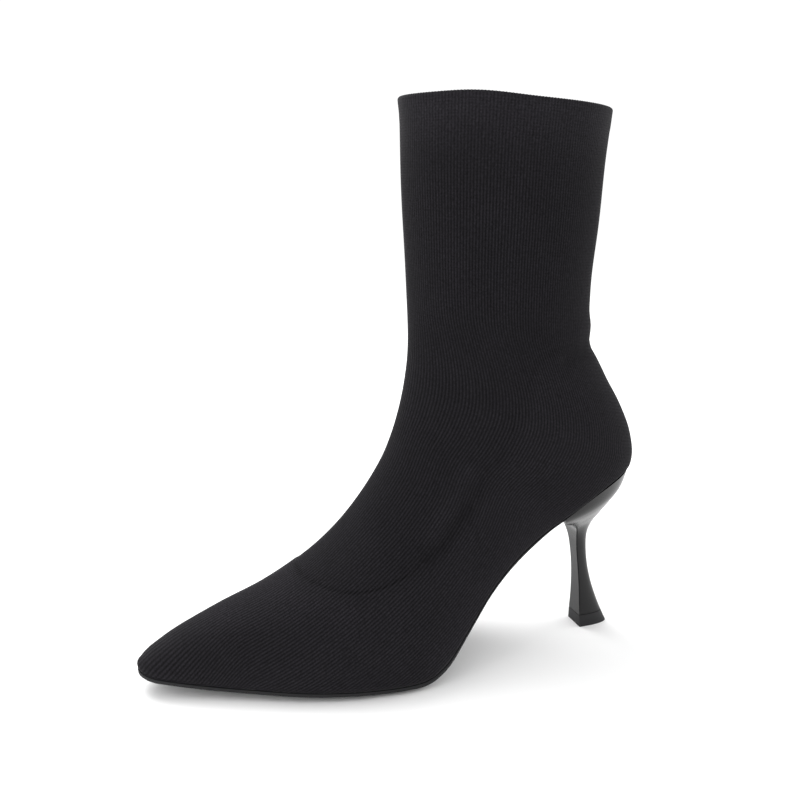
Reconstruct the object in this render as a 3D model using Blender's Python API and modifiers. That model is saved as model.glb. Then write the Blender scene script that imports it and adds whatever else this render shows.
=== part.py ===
"""Sock boot for the left foot: a knitted sock on a pointed last, a thin sole and a flared stiletto heel.

The toe points along -X, the outer side of the foot lies along -Y, and the floor is z = 0. The origin is the
middle of the heel's tread.
"""

import math
from typing import NamedTuple

import bmesh
import bpy
from mathutils import Vector

MM = 0.001

# Driving dimensions. The tables further down are drawn for one size and are graded to these.
LENGTH = 238 * MM  # toe point to the back of the heel, along the floor
BALL_WIDTH = 76.5 * MM  # the upper across the ball of the foot
HEEL_HEIGHT = 81.2 * MM  # floor to the seat, above the middle of the heel's tread
COLLAR_HEIGHT = 254 * MM  # floor to the front of the collar

WALL = 1.6 * MM  # knit with its stretch backing
GAP = 0.3 * MM  # between pieces that meet
OUTSOLE_THICKNESS = 3.0 * MM
OUTSOLE_EDGE = 0.8 * MM  # how far the outsole and the heel stand out from the upper
INSOLE_THICKNESS = 2.0 * MM
TOP_PIECE_HEIGHT = 6.0 * MM
BREAST_X = -28.0 * MM  # where the outsole ends and the heel's seat begins
NOSE_LENGTH = 9.5 * MM  # the round end of the toe, before the first section
NOSE_HEIGHT = 13.0 * MM  # the toe point above the floor
NOSE_ROUNDNESS = 2.6  # 2 is a plain ellipse, more keeps the taper for longer

STEPS_AROUND = 36
STEPS_PER_SECTION = 2
STEPS_IN_NOSE = 4
STEPS_AROUND_HEEL = 28

# The slabs that cut the pieces along the line that the upper stands on
SLAB_START = -240 * MM
SLAB_END = 40 * MM
SLAB_HALF_WIDTH = 60 * MM
SLAB_REACH = 50 * MM
SLAB_STEP = 6 * MM
HEIGHT_TOLERANCE = 1e-6

# The size that the tables are drawn for, in millimetres
TABLE_LENGTH = 238.0
TABLE_BALL_WIDTH = 76.5
TABLE_HEEL_HEIGHT = 81.2
TABLE_COLLAR_HEIGHT = 254.0


class Section(NamedTuple):
    """One slanted section of the last: ridge to underside on the foot, front to back on the leg."""

    top_x: float
    top_z: float
    low_x: float
    low_z: float
    outer: float  # half width towards the outer side
    inner: float  # half width towards the inner side
    ridge_y: float
    widest: float  # where it is widest, as a share of the way up
    low_power: float  # 2 is an ellipse, more is squarer
    top_power: float


SECTIONS = (
    Section(-214.5, 19.6, -213.0, 2.8, 10.5, 12.0, 1.5, 0.42, 2.6, 2.2),
    Section(-203.8, 25.9, -200.0, 0.5, 15.5, 16.5, 1.5, 0.38, 2.8, 2.1),
    Section(-185.5, 33.7, -177.0, -2.0, 24.0, 24.5, 1.5, 0.34, 3.0, 2.0),
    Section(-165.0, 41.5, -149.0, -3.5, 34.0, 33.0, 2.0, 0.30, 3.2, 1.9),
    Section(-145.3, 53.3, -121.0, -4.0, 40.0, 36.5, 2.0, 0.30, 3.2, 1.9),
    Section(-130.5, 66.7, -93.0, -2.0, 40.0, 34.5, 2.0, 0.30, 3.4, 1.9),
    Section(-119.3, 80.3, -70.0, 17.0, 32.0, 29.5, 1.5, 0.34, 3.2, 2.0),
    Section(-110.3, 95.0, -49.5, 40.0, 28.0, 27.0, 1.0, 0.40, 3.0, 2.0),
    Section(-105.3, 107.0, -28.0, 56.0, 27.5, 27.0, 0.5, 0.45, 2.8, 2.0),
    Section(-102.2, 117.5, -6.0, 65.0, 28.5, 28.0, 0.0, 0.46, 2.6, 2.0),
    Section(-100.2, 126.0, 7.0, 74.5, 29.0, 29.0, 0.0, 0.46, 2.3, 2.0),
    Section(-99.0, 133.0, 14.3, 87.0, 29.5, 29.5, 0.0, 0.46, 2.2, 2.0),
    Section(-98.0, 141.0, 12.8, 101.0, 30.0, 30.0, 0.0, 0.46, 2.1, 2.0),
    Section(-97.5, 149.0, 6.3, 116.0, 30.5, 30.5, 0.0, 0.47, 2.0, 2.0),
    Section(-97.4, 157.0, -2.8, 131.0, 31.0, 31.0, 0.0, 0.48, 2.0, 2.0),
    Section(-97.5, 166.0, -11.0, 148.0, 32.0, 32.0, 0.0, 0.50, 2.0, 2.0),
    Section(-98.2, 181.0, -12.3, 172.0, 33.0, 33.0, 0.0, 0.50, 2.0, 2.0),
    Section(-99.6, 206.0, -10.0, 200.0, 34.0, 34.0, 0.0, 0.50, 2.0, 2.0),
    Section(-100.6, 230.0, -8.2, 227.0, 35.0, 35.0, 0.0, 0.50, 2.0, 2.0),
    Section(-101.0, 254.0, -6.0, 249.5, 36.0, 36.0, 0.0, 0.50, 2.0, 2.0),
)


class SeatPoint(NamedTuple):
    """A point of the line that the upper stands on: toe spring, tread, arch and heel seat."""

    x: float
    z: float


SEAT_LINE = (
    SeatPoint(-226.0, 11.2),
    SeatPoint(-210.0, 8.6),
    SeatPoint(-190.0, 6.2),
    SeatPoint(-165.0, 4.2),
    SeatPoint(-144.0, 3.0),
    SeatPoint(-116.0, 3.0),
    SeatPoint(-104.0, 4.0),
    SeatPoint(-92.0, 9.2),
    SeatPoint(-80.0, 20.5),
    SeatPoint(-66.0, 37.5),
    SeatPoint(-52.0, 50.5),
    SeatPoint(-38.0, 60.2),
    SeatPoint(-28.0, 66.2),
    SeatPoint(-18.0, 73.0),
    SeatPoint(-8.0, 78.3),
    SeatPoint(4.0, 82.6),
    SeatPoint(24.0, 87.5),
)


class HeelSection(NamedTuple):
    """One section of the heel, from its flat breast to its round back."""

    breast_x: float
    breast_z: float
    back_x: float
    back_z: float
    half_width: float
    back_power: float  # 2 is an ellipse, more is squarer


HEEL_SECTIONS = (
    HeelSection(-8.6, 0.0, 8.6, 0.0, 6.1, 2.6),
    HeelSection(-8.8, 6.0, 5.7, 6.0, 5.5, 2.5),
    HeelSection(-8.9, 13.0, 2.7, 13.0, 4.7, 2.4),
    HeelSection(-9.2, 22.0, -0.6, 22.0, 4.0, 2.3),
    HeelSection(-9.9, 31.0, -2.9, 31.0, 3.5, 2.2),
    HeelSection(-11.0, 40.0, -4.2, 40.0, 3.5, 2.2),
    HeelSection(-12.2, 48.0, -4.4, 49.0, 4.8, 2.2),
    HeelSection(-14.3, 54.0, -2.3, 56.0, 8.0, 2.2),
    HeelSection(-19.0, 58.5, 2.0, 63.0, 13.5, 2.2),
    HeelSection(-26.0, 62.0, 7.0, 71.0, 19.5, 2.3),
    HeelSection(-28.0, 65.5, 11.4, 78.0, 22.5, 2.3),
    HeelSection(-28.0, 73.0, 14.2, 89.0, 25.0, 2.3),
)


class Finish(NamedTuple):
    """What one material looks like."""

    colour: tuple
    roughness: float


KNIT = Finish((0.016, 0.015, 0.018, 1.0), 0.95)
LINING = Finish((0.030, 0.028, 0.030, 1.0), 0.85)
SOLE_RESIN = Finish((0.075, 0.072, 0.075, 1.0), 0.55)
HEEL_LACQUER = Finish((0.045, 0.045, 0.048, 1.0), 0.22)
LIFT_RUBBER = Finish((0.030, 0.030, 0.032, 1.0), 0.65)


# Grading and interpolation

def graded_length(x):
    """Turn a table's X in millimetres into metres on this boot."""
    return x * LENGTH / TABLE_LENGTH


def graded_width(y):
    """Turn a table's Y in millimetres into metres on this boot."""
    return y * BALL_WIDTH / TABLE_BALL_WIDTH


def graded_height(z):
    """Turn a table's height in millimetres into metres, by the heel's height and the collar's."""
    if z <= TABLE_HEEL_HEIGHT:
        return z * HEEL_HEIGHT / TABLE_HEEL_HEIGHT
    share = (z - TABLE_HEEL_HEIGHT) / (TABLE_COLLAR_HEIGHT - TABLE_HEEL_HEIGHT)
    return HEEL_HEIGHT + share * (COLLAR_HEIGHT - HEEL_HEIGHT)


def hermite(start, end, slope_in, slope_out, share):
    """Cubic from start to end, with the slopes already multiplied by the span."""
    square, cube = share * share, share ** 3
    return (
        (2 * cube - 3 * square + 1) * start
        + (cube - 2 * square + share) * slope_in
        + (3 * square - 2 * cube) * end
        + (cube - square) * slope_out
    )


def smooth(values, at):
    """Read a smooth curve through evenly numbered values at the number `at`."""
    last = len(values) - 1

    def slope(index):
        low, high = max(index - 1, 0), min(index + 1, last)
        return (values[high] - values[low]) / (high - low)

    index = min(int(at), last - 1)
    return hermite(values[index], values[index + 1], slope(index), slope(index + 1), at - index)


def level(points, x):
    """Read a curve through (x, z) points that never overshoots, so level stretches stay level."""
    x = min(max(x, points[0].x), points[-1].x)
    last = len(points) - 1

    def rise(index):
        return (points[index + 1].z - points[index].z) / (points[index + 1].x - points[index].x)

    def slope(index):
        before, after = rise(max(index - 1, 0)), rise(min(index, last - 1))
        if before * after <= 0:
            return 0.0
        return 2 * before * after / (before + after)

    index = max(k for k in range(last) if points[k].x <= x)
    start, end = points[index], points[index + 1]
    span = end.x - start.x
    return hermite(start.z, end.z, slope(index) * span, slope(index + 1) * span, (x - start.x) / span)


# The last

def section_at(number):
    """Read the section table at a number that may lie between two rows."""
    return Section(*(smooth(column, number) for column in zip(*SECTIONS)))


def signed_power(value, power):
    """Raise a cosine or sine to 2 / power and keep its sign."""
    return math.copysign(abs(value) ** (2.0 / power), value)


def section_ring(section, steps):
    """List the points of one section, from its ridge down the outer side and up the inner side."""
    low_y = (section.inner - section.outer) / 2
    low_z, top_z = graded_height(section.low_z), graded_height(section.top_z)
    points = []
    for step in range(steps):
        angle = math.tau * step / steps
        across = section.inner if angle > math.pi else -section.outer
        power = section.top_power if math.cos(angle) >= 0 else section.low_power
        middle = section.ridge_y if math.cos(angle) >= 0 else low_y
        reach = abs(signed_power(math.sin(angle), power))
        rise = signed_power(math.cos(angle), power)
        share = section.widest + rise * ((1 - section.widest) if rise >= 0 else section.widest)
        points.append(Vector((
            graded_length(section.low_x + (section.top_x - section.low_x) * share),
            graded_width(middle + (across - middle) * reach),
            low_z + (top_z - low_z) * share,
        )))
    return points


def nose_rings(inside, first):
    """Round the toe off: each ring goes on with the taper from inside to first, and shrinks to the point."""
    taper = NOSE_LENGTH / (inside[0] - first[0]).length
    rings = []
    for step in range(1, STEPS_IN_NOSE + 1):
        reach = math.sin(math.pi / 2 * step / STEPS_IN_NOSE)
        size = math.sqrt(1 - reach ** NOSE_ROUNDNESS)
        ahead = [point + (point - before) * (taper * reach) for before, point in zip(inside, first)]
        middle = Vector((
            sum(point.x for point in ahead) / len(ahead),
            sum(point.y for point in ahead) / len(ahead),
            NOSE_HEIGHT,
        ))
        rings.append([middle + (point - middle) * size for point in ahead])
    tip = rings.pop()[0]
    return tip, rings[::-1]


def last_rings():
    """List the toe's tip and every ring from the toe to the collar."""
    count = (len(SECTIONS) - 1) * STEPS_PER_SECTION
    rings = [section_ring(section_at(k / STEPS_PER_SECTION), STEPS_AROUND) for k in range(count + 1)]
    tip, nose = nose_rings(rings[1], rings[0])
    return tip, nose + rings


def seat_height(x):
    """Height of the surface that the upper stands on, at x in metres."""
    return graded_height(level(SEAT_LINE, x * TABLE_LENGTH / LENGTH))


# Mesh helpers

def ring_mesh(name, rings, tip=None, start_cap=False, end_cap=False, grow=0.0):
    """Skin closed rings of equal length, with a tip before the first or a cap at either end."""
    bm = bmesh.new()
    rows = [[bm.verts.new(point) for point in ring] for ring in rings]
    count = len(rows[0])
    for low, high in zip(rows, rows[1:]):
        for k in range(count):
            after = (k + 1) % count
            bm.faces.new((low[k], low[after], high[after], high[k]))
    if tip is not None:
        point = bm.verts.new(tip)
        for k in range(count):
            bm.faces.new((point, rows[0][(k + 1) % count], rows[0][k]))
    bm.normal_update()
    for vert, move in [(vert, vert.normal * grow) for vert in bm.verts]:
        vert.co += move
    if start_cap:
        bm.faces.new(rows[0][::-1])
    if end_cap:
        bm.faces.new(rows[-1])
    mesh = bpy.data.meshes.new(name)
    bm.to_mesh(mesh)
    bm.free()
    return mesh


def new_object(name, mesh, collection):
    """Put a mesh into the scene as an object of its own."""
    thing = bpy.data.objects.new(name, mesh)
    collection.objects.link(thing)
    return thing


def last_object(name, collection, grow, capped):
    """Make the last's surface, moved outward by grow, open at the collar or capped there."""
    tip, rings = last_rings()
    return new_object(name, ring_mesh(name, rings, tip, end_cap=capped, grow=grow), collection)


def seat_slab(name, collection, bottom, top, start_x=SLAB_START, end_x=SLAB_END):
    """Make a closed slab across the boot, between two heights that are functions of x."""
    steps = round((end_x - start_x) / SLAB_STEP)
    places = [start_x + (end_x - start_x) * k / steps for k in range(steps + 1)]
    corners = ((-1, bottom), (1, bottom), (1, top), (-1, top))
    rings = [[Vector((x, side * SLAB_HALF_WIDTH, height(x))) for side, height in corners] for x in places]
    slab = new_object(name, ring_mesh(name, rings, start_cap=True, end_cap=True), collection)
    slab.hide_render = True
    slab.display_type = "WIRE"
    return slab


def add_boolean(thing, cutter, operation):
    """Cut, or keep what two solids share."""
    modifier = thing.modifiers.new(operation.title(), "BOOLEAN")
    modifier.operation = operation
    modifier.solver = "EXACT"
    modifier.object = cutter


def give_finish(thing, finish):
    """Give an object its own Principled material."""
    material = bpy.data.materials.new(thing.name + "_material")
    material.use_nodes = True
    shader = material.node_tree.nodes["Principled BSDF"]
    shader.inputs["Base Color"].default_value = finish.colour
    shader.inputs["Roughness"].default_value = finish.roughness
    shader.inputs["Metallic"].default_value = 0.0
    material.diffuse_color = finish.colour
    thing.data.materials.append(material)


# The pieces

def make_upper(boot, cutters):
    """The knitted sock: an open surface given its wall, then cut off along the line that it stands on."""
    upper = last_object("upper", boot, grow=0.0, capped=False)
    wall = upper.modifiers.new("Wall", "SOLIDIFY")
    wall.thickness = WALL
    wall.offset = -1.0
    wall.use_even_offset = True
    under = seat_slab("under_upper", cutters, lambda x: -SLAB_REACH, lambda x: seat_height(x) + GAP)
    add_boolean(upper, under, "DIFFERENCE")
    give_finish(upper, KNIT)


def make_insole(boot, cutters):
    """The board inside the upper, on the outsole and the heel's seat."""
    insole = last_object("insole", boot, grow=-(WALL + GAP), capped=True)
    slab = seat_slab(
        "insole_slab", cutters, lambda x: seat_height(x) + GAP,
        lambda x: seat_height(x) + GAP + INSOLE_THICKNESS)
    add_boolean(insole, slab, "INTERSECT")
    give_finish(insole, LINING)


def make_outsole(boot, cutters):
    """The outsole, from the toe to the heel's breast, flat where it treads."""
    outsole = last_object("outsole", boot, grow=OUTSOLE_EDGE, capped=True)
    slab = seat_slab(
        "outsole_slab", cutters, lambda x: max(seat_height(x) - OUTSOLE_THICKNESS, 0.0),
        seat_height, end_x=BREAST_X - GAP)
    add_boolean(outsole, slab, "INTERSECT")
    give_finish(outsole, SOLE_RESIN)


def heel_section_at(number):
    """Read the heel's table at a number that may lie between two rows."""
    return HeelSection(*(smooth(column, number) for column in zip(*HEEL_SECTIONS)))


def heel_number(height):
    """Find the number in the heel's table whose breast lies at this height."""
    low, high = 0.0, len(HEEL_SECTIONS) - 1.0
    while high - low > HEIGHT_TOLERANCE:
        middle = (low + high) / 2
        if graded_height(heel_section_at(middle).breast_z) < height:
            low = middle
        else:
            high = middle
    return high


def heel_ring(section):
    """List the points of one heel section: a flat breast, straight sides and a round back."""
    low, high = graded_height(section.breast_z), graded_height(section.back_z)
    points = []
    for step in range(STEPS_AROUND_HEEL + 1):
        angle = math.pi * (step / STEPS_AROUND_HEEL - 0.5)
        share = signed_power(math.cos(angle), section.back_power)
        points.append(Vector((
            graded_length(section.breast_x + (section.back_x - section.breast_x) * share),
            graded_width(section.half_width * signed_power(math.sin(angle), section.back_power)),
            low + (high - low) * share,
        )))
    return points


def heel_object(name, collection, numbers):
    """Loft the heel's sections at these numbers into a closed solid."""
    rings = [heel_ring(heel_section_at(number)) for number in numbers]
    return new_object(name, ring_mesh(name, rings, start_cap=True, end_cap=True), collection)


def make_heel(boot, cutters):
    """The heel above its top piece, with its seat cut to the line that the upper stands on."""
    joint = heel_number(TOP_PIECE_HEIGHT + GAP)
    halves = [k / 2 for k in range(2 * len(HEEL_SECTIONS) - 1)]
    heel = heel_object("heel", boot, [joint] + [number for number in halves if number > joint])
    above = seat_slab("above_heel", cutters, seat_height, lambda x: 2 * SLAB_REACH, start_x=2 * BREAST_X)
    add_boolean(heel, above, "DIFFERENCE")
    give_finish(heel, HEEL_LACQUER)


def make_top_piece(boot):
    """The lift that meets the floor."""
    joint = heel_number(TOP_PIECE_HEIGHT)
    top_piece = heel_object("top_piece", boot, [0.0, joint / 2, joint])
    give_finish(top_piece, LIFT_RUBBER)


def new_collection(name):
    """Add a collection to the scene."""
    collection = bpy.data.collections.new(name)
    bpy.context.scene.collection.children.link(collection)
    return collection


def main():
    """Clear the scene and build the boot."""
    for thing in list(bpy.data.objects):
        bpy.data.objects.remove(thing, do_unlink=True)
    boot = new_collection("sock_boot")
    cutters = new_collection("cutters")
    make_upper(boot, cutters)
    make_insole(boot, cutters)
    make_outsole(boot, cutters)
    make_heel(boot, cutters)
    make_top_piece(boot)


main()
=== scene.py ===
"""Looks of the black sock boot: rib-knit sock, lining, insole, outsole, lacquered heel and rubber top piece.

Everything is in metres in the CAD's frame: the toe points along -X, the outer side of the foot lies along -Y,
and the floor is z = 0. The tables are in millimetres and repeat the CAD's own.
"""

import logging
import math
from dataclasses import dataclass
from enum import Enum
from typing import Callable, NamedTuple, Sequence, TypeVar

import bmesh
import bpy
import numpy as np
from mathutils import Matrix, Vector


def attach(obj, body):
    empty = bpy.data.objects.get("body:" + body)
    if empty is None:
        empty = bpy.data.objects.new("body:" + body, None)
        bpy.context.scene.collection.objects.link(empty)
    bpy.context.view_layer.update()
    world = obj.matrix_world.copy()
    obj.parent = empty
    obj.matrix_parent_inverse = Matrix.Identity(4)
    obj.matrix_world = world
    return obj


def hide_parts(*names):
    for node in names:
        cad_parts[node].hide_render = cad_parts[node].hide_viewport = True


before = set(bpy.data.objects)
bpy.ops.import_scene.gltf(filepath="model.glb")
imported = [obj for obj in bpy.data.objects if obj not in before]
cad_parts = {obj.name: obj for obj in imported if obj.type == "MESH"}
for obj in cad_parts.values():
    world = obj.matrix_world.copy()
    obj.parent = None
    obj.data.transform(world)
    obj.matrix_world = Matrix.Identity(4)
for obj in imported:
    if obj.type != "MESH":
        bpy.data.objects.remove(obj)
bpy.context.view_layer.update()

MM = 0.001
LOG = logging.getLogger("sock_boot")

Colour = tuple[float, float, float, float]
Row = TypeVar("Row")


class Slot(Enum):
    """The record's material slots."""

    KNIT = "knit"
    LINING = "lining"
    SOLE = "sole_resin"
    HEEL = "heel_lacquer"
    LIFT = "lift_rubber"


class Node(Enum):
    """The CAD nodes that pieces stand for."""

    UPPER = "upper"
    INSOLE = "insole"
    OUTSOLE = "outsole"
    HEEL = "heel"
    TOP_PIECE = "top_piece"


# The tables of the last, the seat line, the heel and the soles' edges


def rows_of(kind: Callable[..., Row], *rows: Sequence[float]) -> tuple[Row, ...]:
    """Make a table of one kind of row."""
    return tuple(kind(*row) for row in rows)


class Section(NamedTuple):
    """One slanted section of the last: ridge to underside on the foot, front to back on the leg."""

    top_x: float
    top_z: float
    low_x: float
    low_z: float
    outer: float  # half width towards the outer side
    inner: float  # half width towards the inner side
    ridge_y: float
    widest: float  # where it is widest, as a share of the way up
    low_power: float  # 2 is an ellipse, more is squarer
    top_power: float


SECTIONS = rows_of(
    Section, (-214.5, 19.6, -213.0, 2.8, 10.5, 12.0, 1.5, 0.42, 2.6, 2.2),
    (-203.8, 25.9, -200.0, 0.5, 15.5, 16.5, 1.5, 0.38, 2.8, 2.1),
    (-185.5, 33.7, -177.0, -2.0, 24.0, 24.5, 1.5, 0.34, 3.0, 2.0),
    (-165.0, 41.5, -149.0, -3.5, 34.0, 33.0, 2.0, 0.30, 3.2, 1.9),
    (-145.3, 53.3, -121.0, -4.0, 40.0, 36.5, 2.0, 0.30, 3.2, 1.9),
    (-130.5, 66.7, -93.0, -2.0, 40.0, 34.5, 2.0, 0.30, 3.4, 1.9),
    (-119.3, 80.3, -70.0, 17.0, 32.0, 29.5, 1.5, 0.34, 3.2, 2.0),
    (-110.3, 95.0, -49.5, 40.0, 28.0, 27.0, 1.0, 0.40, 3.0, 2.0),
    (-105.3, 107.0, -28.0, 56.0, 27.5, 27.0, 0.5, 0.45, 2.8, 2.0),
    (-102.2, 117.5, -6.0, 65.0, 28.5, 28.0, 0.0, 0.46, 2.6, 2.0),
    (-100.2, 126.0, 7.0, 74.5, 29.0, 29.0, 0.0, 0.46, 2.3, 2.0),
    (-99.0, 133.0, 14.3, 87.0, 29.5, 29.5, 0.0, 0.46, 2.2, 2.0),
    (-98.0, 141.0, 12.8, 101.0, 30.0, 30.0, 0.0, 0.46, 2.1, 2.0),
    (-97.5, 149.0, 6.3, 116.0, 30.5, 30.5, 0.0, 0.47, 2.0, 2.0),
    (-97.4, 157.0, -2.8, 131.0, 31.0, 31.0, 0.0, 0.48, 2.0, 2.0),
    (-97.5, 166.0, -11.0, 148.0, 32.0, 32.0, 0.0, 0.50, 2.0, 2.0),
    (-98.2, 181.0, -12.3, 172.0, 33.0, 33.0, 0.0, 0.50, 2.0, 2.0),
    (-99.6, 206.0, -10.0, 200.0, 34.0, 34.0, 0.0, 0.50, 2.0, 2.0),
    (-100.6, 230.0, -8.2, 227.0, 35.0, 35.0, 0.0, 0.50, 2.0, 2.0),
    (-101.0, 254.0, -6.0, 249.5, 36.0, 36.0, 0.0, 0.50, 2.0, 2.0),
)


class ProfilePoint(NamedTuple):
    """A point of a line that is drawn in the side view."""

    x: float
    z: float


SEAT_LINE = rows_of(
    ProfilePoint, (-226.0, 11.2), (-210.0, 8.6), (-190.0, 6.2), (-165.0, 4.2), (-144.0, 3.0), (-116.0, 3.0),
    (-104.0, 4.0), (-92.0, 9.2), (-80.0, 20.5), (-66.0, 37.5), (-52.0, 50.5), (-38.0, 60.2), (-28.0, 66.2),
    (-18.0, 73.0), (-8.0, 78.3), (4.0, 82.6), (24.0, 87.5),
)

# Where the knit ends and the outsole's edge begins: on the seat line, or above it where the edge cups
# the foot
FEATHER_LINE = rows_of(
    ProfilePoint, (-226.0, 11.2), (-210.0, 8.7), (-190.0, 6.7), (-177.0, 5.9), (-165.0, 5.3), (-152.0, 4.8),
    (-140.0, 4.4), (-130.0, 4.0), (-118.0, 3.6), (-104.0, 4.1),
) + SEAT_LINE[7:]

# The edge of the backing that stiffens the foot and the heel under the knit, closed far below the boot
BACKING = rows_of(
    ProfilePoint, (-153.0, 70.0), (-152.0, 50.5), (-151.0, 48.6), (-146.0, 47.4), (-138.0, 46.0),
    (-131.5, 45.8), (-125.5, 46.4), (-118.5, 48.0), (-107.5, 52.0), (-94.0, 60.0), (-86.0, 67.5),
    (-78.5, 76.5), (-70.5, 89.0), (-62.5, 103.0), (-56.5, 119.0), (-53.0, 133.0), (-49.0, 143.0),
    (-42.0, 147.0), (-30.0, 148.2), (40.0, 148.5), (40.0, -40.0), (-260.0, -40.0), (-260.0, 70.0),
)


class Crease(NamedTuple):
    """A soft ridge or trough of the stretched knit, along a line in the side view."""

    line: tuple[ProfilePoint, ...]
    height: float  # in millimetres, below zero for a trough
    width: float  # in millimetres, from its middle to where it has nearly died away


CREASES = (
    Crease(rows_of(ProfilePoint, (-94.0, 68.0), (-87.0, 78.0), (-82.0, 88.0), (-78.0, 96.0)),
           1.0, 4.0),
    Crease(rows_of(ProfilePoint, (-97.0, 57.5), (-91.0, 63.0), (-84.5, 71.0), (-79.5, 78.0)),
           -0.65, 4.0),
    Crease(rows_of(ProfilePoint, (-26.0, 154.5), (-14.0, 155.5), (-4.0, 156.0)),
           0.75, 4.5),
    Crease(rows_of(ProfilePoint, (-34.0, 143.5), (-22.0, 145.0), (0.0, 146.5)),
           -0.9, 3.8),
)


class HeelSection(NamedTuple):
    """One section of the heel, from its flat breast to its round back."""

    breast_x: float
    breast_z: float
    back_x: float
    back_z: float
    half_width: float
    back_power: float  # 2 is an ellipse, more is squarer


HEEL_SECTIONS = rows_of(
    HeelSection, (-8.6, 0.0, 8.6, 0.0, 6.1, 2.6), (-8.8, 6.0, 5.7, 6.0, 5.5, 2.5),
    (-8.9, 13.0, 2.7, 13.0, 4.7, 2.4), (-9.2, 22.0, -0.6, 22.0, 4.0, 2.3),
    (-9.9, 31.0, -2.9, 31.0, 3.5, 2.2), (-11.0, 40.0, -4.2, 40.0, 3.5, 2.2),
    (-12.2, 48.0, -4.4, 49.0, 4.8, 2.2), (-14.3, 54.0, -2.3, 56.0, 8.0, 2.2),
    (-19.0, 58.5, 2.0, 63.0, 13.5, 2.2), (-26.0, 62.0, 7.0, 71.0, 19.5, 2.3),
    (-28.0, 65.5, 11.4, 78.0, 22.5, 2.3), (-28.0, 73.0, 14.2, 89.0, 25.0, 2.3),
)


class EdgePoint(NamedTuple):
    """A point of a plate's edge, from its top to the foot of its side."""

    out: float  # how far it stands out from the plate's outline, in millimetres
    depth: float  # how far it lies below the plate's top, as a share of the side's height


SOLE_EDGE = rows_of(
    EdgePoint, (-2.0, 0.0), (-0.35, 0.0), (-0.12, 0.03), (0.0, 0.12), (0.02, 0.30), (0.0, 0.52),
    (-0.06, 0.70), (-0.18, 0.84), (-0.40, 0.94), (-0.75, 1.0),
)


class TrimPoint(NamedTuple):
    """How high the outsole's side is trimmed at one place along the boot, in millimetres."""

    x: float
    side: float


SOLE_TRIM = rows_of(
    TrimPoint, (-226.0, 2.2), (-205.0, 1.8), (-165.0, 1.9), (-122.0, 1.9), (-108.0, 2.0), (-98.0, 2.4),
    (-91.0, 2.7), (-84.0, 2.3), (-76.0, 1.6), (-68.0, 1.3), (-60.0, 1.6), (-52.0, 1.9), (-44.0, 1.5),
    (-36.0, 0.9), (-28.0, 0.6),
)

INSOLE_EDGE = rows_of(
    EdgePoint, (-2.2, 0.0), (-1.1, 0.04), (-0.4, 0.18), (-0.05, 0.42), (0.0, 0.70), (-0.2, 0.95),
    (-0.5, 1.0),
)


# Interpolation


def cubic_weights(share: np.ndarray) -> tuple[np.ndarray, ...]:
    """Weigh the start, the slope there, the end and the slope there, for a share of the way from 0 to 1."""
    square, cube = share**2, share**3
    return 2 * cube - 3 * square + 1, cube - 2 * square + share, 3 * square - 2 * cube, cube - square


def smooth(table: np.ndarray, at: np.ndarray) -> np.ndarray:
    """Read smooth curves through evenly numbered rows.

    Args:
        table: One row for each whole number and one column for each curve.
        at: The numbers to read the curves at.

    Returns:
        One row for each number.
    """
    last = len(table) - 1
    slopes = np.gradient(table, axis=0)
    index = np.clip(at.astype(int), 0, last - 1)
    start, leave, end, arrive = cubic_weights((at - index)[:, None])
    return (start * table[index] + leave * slopes[index]
            + end * table[index + 1] + arrive * slopes[index + 1])


def step_up(value: np.ndarray, low: float, high: float) -> np.ndarray:
    """Rise smoothly from 0 at `low` to 1 at `high`."""
    share = np.clip((value - low) / (high - low), 0.0, 1.0)
    return share * share * (3 - 2 * share)


class Span(NamedTuple):
    """A stretch over which something comes in, in millimetres."""

    start: float
    end: float

    def rise(self, value: np.ndarray) -> np.ndarray:
        """Rise smoothly from 0 at the start to 1 at the end, for values in metres."""
        return step_up(value, self.start * MM, self.end * MM)


def bell(value: np.ndarray, width: float) -> np.ndarray:
    """Rise to 1 where the value is 0 and fall off over the width on both sides."""
    return np.exp(-((value / width) ** 2))


def line_height(x: np.ndarray, line: Sequence[ProfilePoint]) -> np.ndarray:
    """Give the height of a line of the side view.

    Args:
        x: Places along the boot, in metres.
        line: The points that the line runs through, in millimetres.

    Returns:
        The heights there, in metres. The curve never overshoots, so the tread stays level.
    """
    points = np.array(line) * MM
    spans = np.diff(points[:, 0])
    rises = np.diff(points[:, 1]) / spans
    before, after = np.append(rises[0], rises), np.append(rises, rises[-1])
    product = before * after
    slopes = np.where(product > 0, 2 * product / np.where(product > 0, before + after, 1.0), 0.0)
    x = np.clip(x, points[0, 0], points[-1, 0])
    index = np.clip(np.searchsorted(points[:, 0], x, side="right") - 1, 0, len(spans) - 1)
    start, leave, end, arrive = cubic_weights((x - points[index, 0]) / spans[index])
    return (start * points[index, 1] + leave * slopes[index] * spans[index]
            + end * points[index + 1, 1] + arrive * slopes[index + 1] * spans[index])


def seat_height(x: np.ndarray) -> np.ndarray:
    """Give the height of the surface that the upper stands on, in metres."""
    return line_height(x, SEAT_LINE)


def feather_height(x: np.ndarray) -> np.ndarray:
    """Give the height at which the knit ends, in metres."""
    return line_height(x, FEATHER_LINE)


def distance_to(x: np.ndarray, z: np.ndarray, line: Sequence[ProfilePoint]) -> np.ndarray:
    """Measure how far points of the side view lie from a line.

    Args:
        x: Places along the boot, in metres.
        z: Heights, in metres.
        line: The corners of the line, in millimetres.

    Returns:
        The distances, in metres.
    """
    corners = np.array(line) * MM
    nearest = np.full(x.shape, np.inf)
    for (x0, z0), (x1, z1) in zip(corners, corners[1:]):
        length = (x1 - x0) ** 2 + (z1 - z0) ** 2
        share = np.clip(((x - x0) * (x1 - x0) + (z - z0) * (z1 - z0)) / length, 0.0, 1.0)
        nearest = np.minimum(nearest, np.hypot(x - x0 - share * (x1 - x0), z - z0 - share * (z1 - z0)))
    return nearest


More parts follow.
